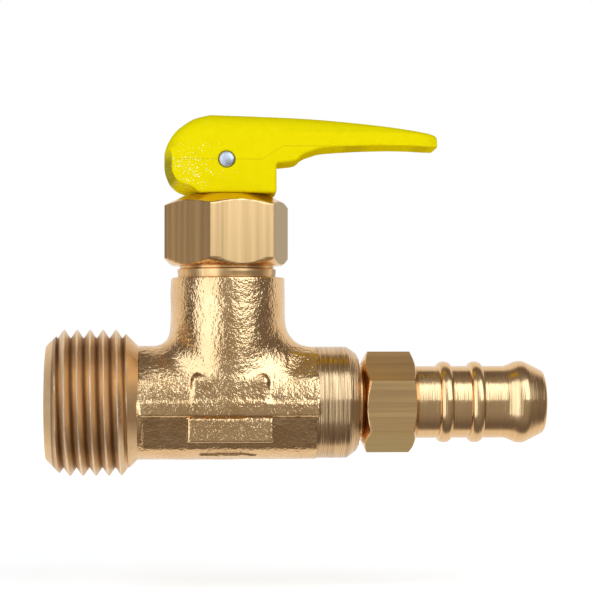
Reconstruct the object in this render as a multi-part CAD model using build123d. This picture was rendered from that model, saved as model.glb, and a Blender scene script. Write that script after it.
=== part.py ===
from build123d import *
import math
import os

# Toggle-lever gas shut-off valve with a screwed-in hose nozzle. Sizes are in millimetres.
# The flow runs along +X, the stem along +Z, and the origin is midway along the inlet thread.

# Inlet end
INLET_THREAD_D = 20.955  # major diameter of a half-inch pipe thread
INLET_THREAD_LENGTH = 8.1  # full-diameter length, between lead-in and run-out
INLET_FACE_D = 16.3  # end face that the 45 degree lead-in leaves
INLET_BORE_D = 11.0
INLET_BORE_DEPTH = 15.0
GAS_WAY_D = 7.0  # narrower drilling from the bore to below the seat
GAS_WAY_OVERRUN = 2.5  # full-diameter drilling past the stem axis
DRILL_POINT_ANGLE = 118.0

# Forged tee
INLET_REACH = 26.0  # inlet face to stem axis
OUTLET_REACH = 18.8  # stem axis to outlet face
TUBE_D = 16.34
BOSS_HEIGHT = 17.9  # flow axis to the top of the boss
BOSS_TOP_D = 16.25
BOSS_FOOT_D = 17.0
BOSS_FOOT_DROP = 1.5  # the boss ends this far below the flow axis, as a ledge on the sides
BOSS_BLEND = 2.4  # fillet between boss and tube
BOSS_RIM_CHAMFER = 0.4

# Trimmed flash band along both sides, and the flat apron where it meets the boss
BAND_FACE = 8.35  # band face to the middle plane
BAND_RISE = 0.3  # above the flow axis
BAND_DROP = 1.55
BAND_INLET_END = 12.4  # measured from the stem axis
BAND_OUTLET_END = 12.6
APRON_FACE = 8.28
APRON_RISE = 4.3
APRON_INLET_END = 5.0
APRON_OUTLET_END = 5.6

# Marking panels on the sides of the tube
PANEL_DEPTH = 0.35
PANEL_TOP_DROP = 1.6  # below the flow axis
PANEL_HEIGHT = 4.2
PANEL_INLET_END = 12.0  # measured from the stem axis
PANEL_OUTLET_END = 11.8
PAD_LENGTH = 12.3
PAD_HEIGHT = 3.2
PAD_TOP_DROP = 2.1
PAD_FACE = 8.15  # pad face to the middle plane
PAD_CORNER = 0.5
ARROW_LENGTH = 8.2
ARROW_BAR_HEIGHT = 0.7
ARROW_HEAD_LENGTH = 2.6
ARROW_HEAD_HEIGHT = 1.3
ARROW_DROP = 7.2
ARROW_PROUD = 0.25

# Turned outlet end
TURNED_D = 16.0
TURNED_LENGTH = 4.3
OUTLET_FACE_D = 12.0
OUTLET_ROUND_LENGTH = 1.6
OUTLET_ROUND_BULGE = 0.28

# Seat and chamber
SEAT_HEIGHT = 5.8  # flow axis to the seat lip
SEAT_LIP_HEIGHT = 0.8
SEAT_BORE_D = 5.0
SEAT_LIP_WIDTH = 0.8
CHAMBER_D = 11.0
OUTLET_DRILL_D = 6.5
OUTLET_DRILL_START = 8.2  # full diameter begins this far past the stem axis
CROSS_DRILL_D = 3.8
CROSS_DRILL_TILT = 32.0  # from the stem axis, drilled through the bonnet socket
CROSS_DRILL_FOOT = 9.3  # from the stem axis, where the drilling crosses the flow axis
THREAD_CLEARANCE = 0.04  # radial, on screwed pairs

# Bonnet
HEX_SIDES = 6
BONNET_THREAD_D = 14.0
BONNET_SOCKET_DEPTH = 7.3
BONNET_GASKET_THICKNESS = 0.8
BONNET_NECK = 1.7  # thread left in sight between boss and hexagon
BONNET_HEX_AF = 16.0
BONNET_HEX_HEIGHT = 10.1
BONNET_HEX_TURN = 14.0  # degrees about the stem axis, as screwed home
BONNET_TOP_D = 12.0
BONNET_TOP_CHAMFER = 1.55
BONNET_FOOT_CHAMFER = 1.0
BONNET_FOOT_D = 15.8
SPRING_POCKET_D = 10.0
SPRING_POCKET_DEPTH = 8.6

# Stem and seals
STEM_D = 6.0
STEM_RUNNING_CLEARANCE = 0.05
TONGUE_WIDTH = 5.0
TONGUE_RUN_OUT = 0.4  # flats go this far past the nose, lever upright
STEM_HEAD = 2.7  # radius of the stem's top about the pin
O_RING_SECTION = 0.9
O_RING_SQUEEZE_GAP = 0.03  # drawn clear of the bore by this much
O_RING_LOWER = 1.4  # above the pocket ceiling
O_RING_PITCH = 3.0
O_RING_GROOVE = 1.3
SPIGOT_D = 3.6
CLIP_GROOVE_D = 2.6
CLIP_D = 5.6
CLIP_THICKNESS = 0.5
CLIP_MOUTH = 2.2
CLIP_PLAY = 0.1

# Disc holder, disc and spring
DISC_D = 7.6
DISC_THICKNESS = 1.8
DISC_SEAT_GAP = 0.05
DISC_SHOWS = 0.45  # below the holder's lip
HOLDER_D = 9.4
HOLDER_CAVITY_D = 6.4
HOLDER_CAVITY = 1.4
HOLDER_TOP = 1.4
SPRING_WASHER_THICKNESS = 0.5
SPRING_WIRE = 0.9
SPRING_MEAN_D = 8.2
SPRING_TURNS = 4.0
SPRING_END_GAP = 0.02

# Lever, seen from the side with the pin at its origin
LEVER_TURN = -1.8  # degrees about the stem axis, as the valve stands
PIN_D = 2.35
PIN_RECESS = 0.1
PIN_CLEARANCE = 0.05
LEVER_GAP = 0.1  # between cam foot and bonnet
CAM_FOOT = 4.7  # pin to the flat foot
CAM_RATE = 2.6  # rise of the pin per radian of tilt
CAM_STEPS = 6  # spans of the spline through the cam's points
NOSE_REACH = 8.55
NOSE_ROUND_START = 1.0
CROWN_X = -2.4
CROWN_HEIGHT = 6.35
BROW_X = -6.5
BROW_HEIGHT = 4.5
TOP_MID_X = 13.0
TOP_MID_HEIGHT = 5.67
TIP_REACH = 30.1
TIP_TOP = 3.4
TIP_BOTTOM = 1.85
TIP_ROUND = 0.5
UNDER_KNEE_X = 17.0
UNDER_KNEE = 1.75
UNDER_BEND_X = 11.8
UNDER_BEND = 1.1
UNDER_BEND_ROUND = 1.0
NOTCH_X = 10.0
NOTCH = -0.35
NOTCH_ROUND = 0.8
HEEL_X = 7.08
HEEL_ROOT = -0.6
HEEL_ROOT_ROUND = 0.4
HEEL_CORNER_ROUND = 0.5
LEVER_WIDTH = 12.4  # at the nose
LEVER_TIP_WIDTH = 9.0
LEVER_TIP_CORNER = 3.0
LEVER_EDGE_ROUND = 1.0
SLOT_CLEARANCE = 0.15  # each side of the tongue
SLOT_HEAD_CLEARANCE = 0.5  # round the stem's head

# Hose nozzle
NOZZLE_THREAD_D = 10.1
NOZZLE_SOCKET_DEPTH = 8.4
NOZZLE_GASKET_THICKNESS = 0.8
NOZZLE_NECK = 0.6  # thread left in sight between outlet face and hexagon
NOZZLE_HEX_AF = 12.7
NOZZLE_HEX_LENGTH = 7.7
NOZZLE_HEX_TURN = 34.0  # degrees about the flow axis, as screwed home
NOZZLE_HEX_INNER_D = 11.1
NOZZLE_HEX_OUTER_D = 10.4
NOZZLE_HEX_CHAMFER = 1.0
NOZZLE_D = 10.26
NOZZLE_TAIL = 18.6  # hexagon to the end
NOZZLE_BORE_D = 6.5
RING_D = 11.66
RING_WIDTH = 2.0
RING_COUNT = 2
RING_FIRST = 4.2  # hexagon to the first ring's middle
RING_PITCH = 4.5
BULB_D = 11.7
BULB_START = 12.9
BULB_PEAK = 15.1
BULB_END_D = 8.8
NOZZLE_END_ROUND = 0.25

# Places that several pieces share, worked out from the sizes above
inlet_lead = (INLET_THREAD_D - INLET_FACE_D) / 2
stem_x = INLET_REACH - inlet_lead - INLET_THREAD_LENGTH / 2
socket_floor = BOSS_HEIGHT - BONNET_SOCKET_DEPTH
bonnet_foot = socket_floor + BONNET_GASKET_THICKNESS
hex_foot = BOSS_HEIGHT + BONNET_NECK
bonnet_top = hex_foot + BONNET_HEX_HEIGHT
pocket_ceiling = bonnet_foot + SPRING_POCKET_DEPTH
pin_height = bonnet_top + LEVER_GAP + CAM_FOOT
disc_foot = SEAT_HEIGHT + DISC_SEAT_GAP
cavity_foot = disc_foot + DISC_THICKNESS
holder_plate = cavity_foot + HOLDER_CAVITY
holder_top = holder_plate + HOLDER_TOP
washer_top = holder_top + SPRING_WASHER_THICKNESS
nozzle_floor = OUTLET_REACH - NOZZLE_SOCKET_DEPTH
nozzle_foot = nozzle_floor + NOZZLE_GASKET_THICKNESS
nozzle_hex = OUTLET_REACH + NOZZLE_NECK
nozzle_tail = nozzle_hex + NOZZLE_HEX_LENGTH
nozzle_end = nozzle_tail + NOZZLE_TAIL
stem_bore_r = STEM_D / 2 + STEM_RUNNING_CLEARANCE
lever_taper = (LEVER_WIDTH - LEVER_TIP_WIDTH) / (NOSE_REACH + TIP_REACH)
width_at_pin = LEVER_WIDTH - lever_taper * NOSE_REACH
beyond = 2 * INLET_THREAD_D  # longer than any cut needs to reach

on_stem = Pos(stem_x, 0, 0)
lever_place = Pos(stem_x, 0, pin_height) * Rot(0, 0, LEVER_TURN)


def turned_z(*points):
    """Solid of revolution about the stem axis from (radius, height) points."""
    outline = Polyline(*[(r, 0, z) for r, z in points], close=True)
    return revolve(make_face(outline), Axis.Z)


def turned_x(*edges):
    """Solid of revolution about the flow axis from edges in the XZ plane."""
    return revolve(make_face(edges), Axis.X)


def line_x(*points):
    """Polyline in the XZ plane from (place along the flow, radius) points."""
    return Polyline(*[(x, 0, r) for x, r in points])


def round_bar_x(diameter, start, end):
    """Cylinder along the flow axis."""
    return Pos((start + end) / 2, 0, 0) * Rot(0, 90, 0) * Cylinder(diameter / 2, end - start)


def ring_z(inner_d, outer_d, start, end):
    """Flat ring about the stem axis."""
    return turned_z((inner_d / 2, start), (outer_d / 2, start), (outer_d / 2, end), (inner_d / 2, end))


def drilling_x(diameter, start, end):
    """Drilled hole along the flow axis with its conical point past the end."""
    direction = 1 if end > start else -1
    point = diameter / 2 / math.tan(math.radians(DRILL_POINT_ANGLE / 2))
    radius = diameter / 2
    profile = line_x((start, 0), (start, radius), (end, radius), (end + direction * point, 0), (start, 0))
    return turned_x(profile)


def forged_run():
    """The horizontal run: threaded inlet, forged tube and turned outlet end, solid."""
    thread_r = INLET_THREAD_D / 2
    tube_r = TUBE_D / 2
    face = -INLET_REACH
    thread_start = face + inlet_lead
    thread_end = thread_start + INLET_THREAD_LENGTH
    run_out_end = thread_end + thread_r - tube_r
    turned_start = OUTLET_REACH - OUTLET_ROUND_LENGTH - TURNED_LENGTH
    round_start = OUTLET_REACH - OUTLET_ROUND_LENGTH
    turned_r = TURNED_D / 2
    outlet_r = OUTLET_FACE_D / 2
    step = tube_r - turned_r
    sides = line_x(
        (OUTLET_REACH, outlet_r),
        (OUTLET_REACH, 0),
        (face, 0),
        (face, INLET_FACE_D / 2),
        (thread_start, thread_r),
        (thread_end, thread_r),
        (run_out_end, tube_r),
        (turned_start - step, tube_r),
        (turned_start, turned_r),
        (round_start, turned_r),
    )
    middle = (
        (round_start + OUTLET_REACH) / 2 + OUTLET_ROUND_BULGE,
        0,
        (turned_r + outlet_r) / 2 + OUTLET_ROUND_BULGE,
    )
    corner = ThreePointArc((round_start, 0, turned_r), middle, (OUTLET_REACH, 0, outlet_r))
    return turned_x(sides, corner)


def side_slab(face, start, end, foot, top):
    """Slab across the body with a flat face on both sides."""
    middle = Pos((start + end) / 2, 0, (foot + top) / 2)
    return middle * Box(end - start, 2 * face, top - foot)


def marking_panel():
    """Shallow panel below the flow axis on one side, as a cutting tool that leaves the pad."""
    length = PANEL_INLET_END + PANEL_OUTLET_END
    middle_x = (PANEL_OUTLET_END - PANEL_INLET_END) / 2
    middle_z = -PANEL_TOP_DROP - PANEL_HEIGHT / 2
    slab = Pos(middle_x, -TUBE_D / 2, middle_z) * Box(length, TUBE_D, PANEL_HEIGHT)
    core = round_bar_x(TUBE_D - 2 * PANEL_DEPTH, -PANEL_INLET_END, PANEL_OUTLET_END)
    return slab - core


def marking_pad():
    """Blank raised pad with a flat face, for the side at -Y."""
    outline = RectangleRounded(PAD_LENGTH, PAD_HEIGHT, PAD_CORNER)
    depth = PAD_FACE - TUBE_D / 4
    middle = (0, -PAD_FACE, -PAD_TOP_DROP - PAD_HEIGHT / 2)
    place = Plane(origin=middle, x_dir=(1, 0, 0), z_dir=(0, -1, 0))
    return extrude(place * outline, amount=-depth)


def flow_arrow():
    """Raised flow arrow low on the side at -Y, lying on the tube."""
    start = -ARROW_LENGTH / 2
    neck = ARROW_LENGTH / 2 - ARROW_HEAD_LENGTH
    bar = ARROW_BAR_HEIGHT / 2
    head = ARROW_HEAD_HEIGHT / 2
    points = [
        (start, -bar),
        (neck, -bar),
        (neck, -head),
        (ARROW_LENGTH / 2, 0),
        (neck, head),
        (neck, bar),
        (start, bar),
    ]
    place = Plane(origin=(0, 0, -ARROW_DROP), x_dir=(1, 0, 0), z_dir=(0, -1, 0))
    stamp = extrude(place * make_face(Polyline(*points, close=True)), amount=TUBE_D)
    return stamp & round_bar_x(TUBE_D + 2 * ARROW_PROUD, -ARROW_LENGTH, ARROW_LENGTH)


def body_ways():
    """Everything that is bored out of the forging."""
    bore_end = INLET_BORE_DEPTH - INLET_REACH
    lip_r = SEAT_BORE_D / 2 + SEAT_LIP_WIDTH
    floor = SEAT_HEIGHT - SEAT_LIP_HEIGHT
    chamber = turned_z(
        (0, SEAT_HEIGHT),
        (lip_r, SEAT_HEIGHT),
        (lip_r, floor),
        (CHAMBER_D / 2, floor),
        (CHAMBER_D / 2, socket_floor),
        (BONNET_THREAD_D / 2 + THREAD_CLEARANCE, socket_floor),
        (BONNET_THREAD_D / 2 + THREAD_CLEARANCE, BOSS_HEIGHT + BOSS_RIM_CHAMFER),
        (0, BOSS_HEIGHT + BOSS_RIM_CHAMFER),
    )
    seat_bore = Pos(0, 0, SEAT_HEIGHT / 2) * Cylinder(SEAT_BORE_D / 2, SEAT_HEIGHT)
    reach = socket_floor / math.cos(math.radians(CROSS_DRILL_TILT))
    cross = Pos(CROSS_DRILL_FOOT, 0, 0) * Rot(0, -CROSS_DRILL_TILT, 0)
    cross_drill = cross * Pos(0, 0, reach / 2) * Cylinder(CROSS_DRILL_D / 2, reach)
    return [
        drilling_x(INLET_BORE_D, -INLET_REACH, bore_end),
        drilling_x(GAS_WAY_D, -INLET_REACH, GAS_WAY_OVERRUN),
        chamber,
        seat_bore,
        drilling_x(OUTLET_DRILL_D, OUTLET_REACH, OUTLET_DRILL_START),
        round_bar_x(NOZZLE_THREAD_D + 2 * THREAD_CLEARANCE, nozzle_floor, OUTLET_REACH),
        cross_drill,
    ]


def valve_body():
    """Forged tee with its marking panels, bored for the seat, bonnet and nozzle."""
    boss = turned_z(
        (0, -BOSS_FOOT_DROP),
        (BOSS_FOOT_D / 2, -BOSS_FOOT_DROP),
        (BOSS_TOP_D / 2, BOSS_HEIGHT - BOSS_RIM_CHAMFER),
        (BOSS_TOP_D / 2 - BOSS_RIM_CHAMFER, BOSS_HEIGHT),
        (0, BOSS_HEIGHT),
    )
    tee = forged_run() + boss
    tee = fillet([edge for edge in tee.edges() if edge.geom_type == GeomType.BSPLINE], BOSS_BLEND)
    tee += side_slab(BAND_FACE, -BAND_INLET_END, BAND_OUTLET_END, -BAND_DROP, BAND_RISE)
    tee += side_slab(APRON_FACE, -APRON_INLET_END, APRON_OUTLET_END, -BAND_DROP, APRON_RISE)
    panel = marking_panel()
    pad = marking_pad()
    tee = tee - panel - mirror(panel, Plane.XZ)
    tee = tee + pad + mirror(pad, Plane.XZ) + flow_arrow()
    for way in body_ways():
        tee -= way
    return tee


def bonnet():
    """Hexagon bonnet: threaded shank below, spring pocket inside, stem bore through the top."""
    corner_r = BONNET_HEX_AF / 2 / math.cos(math.pi / HEX_SIDES)
    thread_r = BONNET_THREAD_D / 2
    envelope = turned_z(
        (0, hex_foot),
        (BONNET_FOOT_D / 2, hex_foot),
        (corner_r, hex_foot + BONNET_FOOT_CHAMFER),
        (corner_r, bonnet_top - BONNET_TOP_CHAMFER),
        (BONNET_TOP_D / 2, bonnet_top),
        (0, bonnet_top),
    )
    hexagon = RegularPolygon(BONNET_HEX_AF / 2, HEX_SIDES, major_radius=False, rotation=BONNET_HEX_TURN)
    head = envelope & extrude(Pos(0, 0, hex_foot) * hexagon, amount=BONNET_HEX_HEIGHT)
    shank = Pos(0, 0, (bonnet_foot + hex_foot) / 2) * Cylinder(thread_r, hex_foot - bonnet_foot)
    pocket = Cylinder(SPRING_POCKET_D / 2, SPRING_POCKET_DEPTH)
    stem_bore = Pos(0, 0, bonnet_top / 2) * Cylinder(stem_bore_r, bonnet_top)
    return head + shank - Pos(0, 0, (bonnet_foot + pocket_ceiling) / 2) * pocket - stem_bore


def hose_nozzle():
    """Screwed-in nozzle: thread, hexagon, two half-round rings and a bulb, bored through."""
    tube_r = NOZZLE_D / 2
    ring_r = RING_D / 2
    thread_r = NOZZLE_THREAD_D / 2
    bulb_start = nozzle_tail + BULB_START
    bulb_peak = nozzle_tail + BULB_PEAK
    edges = [
        line_x(
            (nozzle_hex, 0),
            (nozzle_foot, 0),
            (nozzle_foot, thread_r),
            (nozzle_hex, thread_r),
            (nozzle_hex, tube_r),
        )
    ]
    tube_start = nozzle_hex
    for number in range(RING_COUNT):
        middle = nozzle_tail + RING_FIRST + number * RING_PITCH
        start = middle - RING_WIDTH / 2
        end = middle + RING_WIDTH / 2
        edges.append(line_x((tube_start, tube_r), (start, tube_r)))
        edges.append(ThreePointArc((start, 0, tube_r), (middle, 0, ring_r), (end, 0, tube_r)))
        tube_start = end
    edges.append(line_x((tube_start, tube_r), (bulb_start, tube_r)))
    swell = Spline(
        (bulb_start, 0, tube_r),
        (bulb_peak, 0, BULB_D / 2),
        tangents=[(1, 0, 0), (1, 0, 0)],
    )
    taper_x = nozzle_end - NOZZLE_END_ROUND
    taper_r = BULB_END_D / 2 + NOZZLE_END_ROUND
    taper = TangentArc((bulb_peak, 0, BULB_D / 2), (taper_x, 0, taper_r), tangent=(1, 0, 0))
    closing = line_x((taper_x, taper_r), (nozzle_end, BULB_END_D / 2), (nozzle_end, 0), (nozzle_hex, 0))
    turned = turned_x(*edges, swell, taper, closing)
    corner_r = NOZZLE_HEX_AF / 2 / math.cos(math.pi / HEX_SIDES)
    envelope = turned_x(
        line_x(
            (nozzle_hex, 0),
            (nozzle_hex, NOZZLE_HEX_INNER_D / 2),
            (nozzle_hex + NOZZLE_HEX_CHAMFER, corner_r),
            (nozzle_tail - NOZZLE_HEX_CHAMFER, corner_r),
            (nozzle_tail, NOZZLE_HEX_OUTER_D / 2),
            (nozzle_tail, 0),
            (nozzle_hex, 0),
        )
    )
    across = Plane(origin=(nozzle_hex, 0, 0), x_dir=(0, 1, 0), z_dir=(1, 0, 0))
    hexagon = RegularPolygon(NOZZLE_HEX_AF / 2, HEX_SIDES, major_radius=False, rotation=NOZZLE_HEX_TURN)
    head = envelope & extrude(across * hexagon, amount=NOZZLE_HEX_LENGTH)
    bore = round_bar_x(NOZZLE_BORE_D, nozzle_foot, nozzle_end)
    return turned + head - bore


def stem():
    """Stem with O-ring grooves, a flatted tongue for the lever and a spigot for the disc holder."""
    stem_r = STEM_D / 2
    groove_r = stem_bore_r - O_RING_SQUEEZE_GAP - O_RING_SECTION
    shoulder = holder_top + CLIP_PLAY
    clip_top = holder_plate - CLIP_PLAY
    spigot_end = clip_top - 2 * CLIP_THICKNESS
    rod_top = pin_height + stem_r
    rod = Pos(0, 0, (shoulder + rod_top) / 2) * Cylinder(stem_r, rod_top - shoulder)
    for middle in o_ring_heights():
        groove = ring_z(2 * groove_r, 2 * STEM_D, middle - O_RING_GROOVE / 2, middle + O_RING_GROOVE / 2)
        rod -= groove
    tongue_foot = pin_height - NOSE_REACH - TONGUE_RUN_OUT
    tongue_height = pin_height + beyond - tongue_foot
    for side in (-1, 1):
        flat = Box(STEM_D * 2, STEM_D, tongue_height)
        rod -= Pos(0, side * (TONGUE_WIDTH + STEM_D) / 2, tongue_foot + tongue_height / 2) * flat
    head = Pos(0, 0, pin_height) * Rot(90, 0, 0) * Cylinder(STEM_HEAD, STEM_D)
    trunk = Pos(0, 0, pin_height / 2) * Box(STEM_D * 2, STEM_D * 2, pin_height)
    rod &= head + trunk
    spigot = turned_z(
        (0, spigot_end),
        (SPIGOT_D / 2, spigot_end),
        (SPIGOT_D / 2, clip_top - CLIP_THICKNESS),
        (CLIP_GROOVE_D / 2, clip_top - CLIP_THICKNESS),
        (CLIP_GROOVE_D / 2, clip_top),
        (SPIGOT_D / 2, clip_top),
        (SPIGOT_D / 2, shoulder),
        (0, shoulder),
    )
    eye = Pos(0, 0, pin_height) * Rot(90, 0, 0) * Cylinder(PIN_D / 2 + PIN_CLEARANCE, STEM_D * 2)
    return rod + spigot - eye


def o_ring_heights():
    """Middles of the two stem seals, valve shut."""
    lower = pocket_ceiling + O_RING_LOWER
    return lower, lower + O_RING_PITCH


def o_ring(middle):
    """One stem seal, drawn just clear of the bore."""
    ring_r = stem_bore_r - O_RING_SQUEEZE_GAP - O_RING_SECTION / 2
    return Pos(0, 0, middle) * Torus(ring_r, O_RING_SECTION / 2)


def stem_clip():
    """Open retaining ring in the spigot's groove."""
    top = holder_plate - CLIP_PLAY
    ring = ring_z(CLIP_GROOVE_D, CLIP_D, top - CLIP_THICKNESS, top)
    mouth = Pos(CLIP_D / 2, 0, top) * Box(CLIP_D, CLIP_MOUTH, 4 * CLIP_THICKNESS)
    return ring - mouth


def disc_holder():
    """Turned cup: the disc below, a cavity for the clip, and a holed plate under the spring."""
    lip = disc_foot + DISC_SHOWS
    hole_r = SPIGOT_D / 2 + STEM_RUNNING_CLEARANCE
    return turned_z(
        (DISC_D / 2, lip),
        (HOLDER_D / 2, lip),
        (HOLDER_D / 2, holder_top),
        (hole_r, holder_top),
        (hole_r, holder_plate),
        (HOLDER_CAVITY_D / 2, holder_plate),
        (HOLDER_CAVITY_D / 2, cavity_foot),
        (DISC_D / 2, cavity_foot),
    )


def seat_disc():
    """Rubber disc that shuts the seat."""
    return Pos(0, 0, disc_foot + DISC_THICKNESS / 2) * Cylinder(DISC_D / 2, DISC_THICKNESS)


def spring_washer():
    """Flat steel washer between disc holder and spring."""
    return ring_z(2 * stem_bore_r, HOLDER_D, holder_top, washer_top)


def closing_spring():
    """Round-wire compression spring from the washer to the pocket's ceiling, valve shut."""
    start = washer_top + SPRING_END_GAP + SPRING_WIRE / 2
    height = pocket_ceiling - SPRING_END_GAP - SPRING_WIRE / 2 - start
    mean_r = SPRING_MEAN_D / 2
    coil = Helix(pitch=height / SPRING_TURNS, height=height, radius=mean_r)
    section = Plane(origin=coil @ 0, z_dir=coil % 0) * Circle(SPRING_WIRE / 2)
    return Pos(0, 0, start) * sweep(section, path=coil, is_frenet=True)


def cam_point(angle):
    """Point of the cam whose foot rises evenly: support CAM_FOOT + CAM_RATE * angle."""
    support = CAM_FOOT + CAM_RATE * angle
    x = -(support * math.sin(angle) + CAM_RATE * math.cos(angle))
    z = -(support * math.cos(angle) - CAM_RATE * math.sin(angle))
    return x, 0, z


def cam_angle_at_nose():
    """Tilt at which the cam curve reaches the nose, by halving."""
    low = 0.0
    high = math.pi / 2
    while high - low > 1e-6:
        middle = (low + high) / 2
        if -cam_point(middle)[0] < NOSE_REACH:
            low = middle
        else:
            high = middle
    return low


def lever_outline():
    """Side outline of the lever about its pin, in the XZ plane."""
    last = cam_angle_at_nose()
    cam = Spline(*[cam_point(last * i / CAM_STEPS) for i in range(CAM_STEPS + 1)])
    nose_foot = cam @ 1
    nose_top = (-NOSE_REACH, 0, NOSE_ROUND_START)
    crown = (CROWN_X, 0, CROWN_HEIGHT)
    tip = (TIP_REACH, 0, TIP_TOP)
    nose = Line(nose_foot, nose_top)
    brow = ThreePointArc(nose_top, (BROW_X, 0, BROW_HEIGHT), crown)
    top = ThreePointArc(crown, (TOP_MID_X, 0, TOP_MID_HEIGHT), tip)
    under = FilletPolyline(
        tip,
        (TIP_REACH, 0, TIP_BOTTOM),
        (UNDER_KNEE_X, 0, UNDER_KNEE),
        (UNDER_BEND_X, 0, UNDER_BEND),
        (NOTCH_X, 0, NOTCH),
        (HEEL_X, 0, HEEL_ROOT),
        (HEEL_X, 0, -CAM_FOOT),
        (-CAM_RATE, 0, -CAM_FOOT),
        radius=[
            TIP_ROUND,
            UNDER_BEND_ROUND,
            UNDER_BEND_ROUND,
            NOTCH_ROUND,
            HEEL_ROOT_ROUND,
            HEEL_CORNER_ROUND,
        ],
    )
    return make_face([cam, nose, brow, top, under])


def lever_plan(sides):
    """Upright prism on the lever's plan, from its two sides and tip."""
    nose = Line(sides @ 1, sides @ 0)
    return extrude(Pos(0, 0, -beyond) * make_face([sides, nose]), amount=2 * beyond)


def on_crown(edge):
    """Whether an edge runs along one side of the lever's rounded top."""
    start = edge @ 0
    end = edge @ 1
    above = min(start.Z, end.Z) > NOSE_ROUND_START - LEVER_GAP and edge.center().Z > BROW_HEIGHT / 2
    return above and start.Y * end.Y > 0 and abs(start.X - end.X) > LEVER_EDGE_ROUND


def lever():
    """Cast toggle lever: cam block with a slot for the stem, and a tapering handle."""
    half = LEVER_WIDTH / 2
    tip_half = LEVER_TIP_WIDTH / 2
    blank = extrude(lever_outline(), amount=half, dir=(0, 1, 0), both=True)
    corners = [(-NOSE_REACH, half), (TIP_REACH, tip_half), (TIP_REACH, -tip_half), (-NOSE_REACH, -half)]
    blank &= lever_plan(Polyline(*corners))
    blank = fillet([edge for edge in blank.edges() if on_crown(edge)], LEVER_EDGE_ROUND)
    blank &= lever_plan(FilletPolyline(*corners, radius=LEVER_TIP_CORNER))
    slot_half = TONGUE_WIDTH / 2 + SLOT_CLEARANCE
    head_r = STEM_D / 2 + SLOT_HEAD_CLEARANCE
    slot_sides = Polyline(
        (head_r, 0, 0),
        (head_r, 0, -beyond),
        (-beyond, 0, -beyond),
        (-beyond, 0, head_r),
        (0, 0, head_r),
    )
    slant = head_r * math.cos(math.pi / 4)
    slot_round = ThreePointArc((0, 0, head_r), (slant, 0, slant), (head_r, 0, 0))
    slot = extrude(make_face([slot_sides, slot_round]), amount=slot_half, dir=(0, 1, 0), both=True)
    hole = Rot(90, 0, 0) * Cylinder(PIN_D / 2, 2 * LEVER_WIDTH)
    return blank - slot - hole


def lever_pin():
    """Steel cross pin, just under flush with the lever's sides."""
    return Rot(90, 0, 0) * Cylinder(PIN_D / 2, width_at_pin - 2 * PIN_RECESS)


def bonnet_gasket():
    """Flat seal between the socket floor and the bonnet's end."""
    return ring_z(CHAMBER_D, BONNET_THREAD_D, socket_floor, bonnet_foot)


def nozzle_gasket():
    """Flat seal between the outlet socket's floor and the nozzle's end."""
    ring = round_bar_x(NOZZLE_THREAD_D, nozzle_floor, nozzle_foot)
    return ring - round_bar_x(NOZZLE_BORE_D, nozzle_floor, nozzle_foot)


def main():
    """Build every piece in its place and write one file each."""
    o_ring_low, o_ring_high = o_ring_heights()
    swivel = on_stem * Rot(0, 0, LEVER_TURN)
    pieces = {
        "valve_body": on_stem * valve_body(),
        "bonnet": on_stem * bonnet(),
        "bonnet_gasket": on_stem * bonnet_gasket(),
        "hose_nozzle": on_stem * hose_nozzle(),
        "nozzle_gasket": on_stem * nozzle_gasket(),
        "closing_spring": on_stem * closing_spring(),
        "disc_holder": on_stem * disc_holder(),
        "seat_disc": on_stem * seat_disc(),
        "spring_washer": on_stem * spring_washer(),
        "stem": swivel * stem(),
        "stem_clip": swivel * stem_clip(),
        "stem_o_ring_lower": on_stem * o_ring(o_ring_low),
        "stem_o_ring_upper": on_stem * o_ring(o_ring_high),
        "lever": lever_place * lever(),
        "lever_pin": lever_place * lever_pin(),
    }
    os.makedirs("parts", exist_ok=True)
    for name, piece in pieces.items():
        export_step(piece, f"parts/{name}.step")


main()
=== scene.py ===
import math

import bpy
import numpy as np
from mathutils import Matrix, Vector


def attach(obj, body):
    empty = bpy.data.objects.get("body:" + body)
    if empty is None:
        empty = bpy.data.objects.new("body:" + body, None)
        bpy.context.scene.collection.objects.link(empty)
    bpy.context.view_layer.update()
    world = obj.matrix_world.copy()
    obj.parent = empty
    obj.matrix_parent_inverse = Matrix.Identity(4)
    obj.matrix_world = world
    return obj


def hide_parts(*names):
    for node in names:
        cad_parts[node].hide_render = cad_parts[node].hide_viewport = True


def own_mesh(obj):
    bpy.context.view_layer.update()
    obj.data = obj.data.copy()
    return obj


# Looks of a toggle-lever gas shut-off valve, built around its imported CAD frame.
# Shapes are worked out in millimetres from the point where stem axis and flow axis cross:
# x along the flow, z up the stem, -y towards the camera. Meshes are stored in metres.

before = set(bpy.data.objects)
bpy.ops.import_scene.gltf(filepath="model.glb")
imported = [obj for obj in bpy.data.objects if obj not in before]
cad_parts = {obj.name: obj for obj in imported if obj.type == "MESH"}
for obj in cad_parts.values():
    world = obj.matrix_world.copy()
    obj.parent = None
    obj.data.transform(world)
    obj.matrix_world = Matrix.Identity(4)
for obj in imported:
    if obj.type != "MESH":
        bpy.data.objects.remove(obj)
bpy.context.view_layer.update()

MM = 0.001
STEM_X = 19.6225  # stem axis in the CAD frame
PIN_Z = 34.5
LEVER_TURN = math.radians(-1.8)

# Inlet end
INLET_FACE = -25.68
INLET_FACE_R = 8.15
INLET_MAJOR_R = 10.4775
INLET_RUN_OUT = -15.05
INLET_BURIED = -12.6  # the run-out cone goes on inside the forging to here
THREAD_PITCH = 1.84
THREAD_DEPTH = 1.24
THREAD_PHASE = -19.97  # place of a crest where the turn angle is zero
THREAD_CREST_ROUND = 0.06
THREAD_ROOT_FROM = 0.9  # share of the flank
THREAD_END_SOFT = 0.06
INLET_CHAMFER = 0.35
GAS_WAY_CONE = 1.2
INLET_BORE_R = 5.5
INLET_BORE_END = -11.0
GAS_WAY_R = 3.5
GAS_WAY_END = 2.5
GAS_WAY_POINT = 4.6

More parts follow.
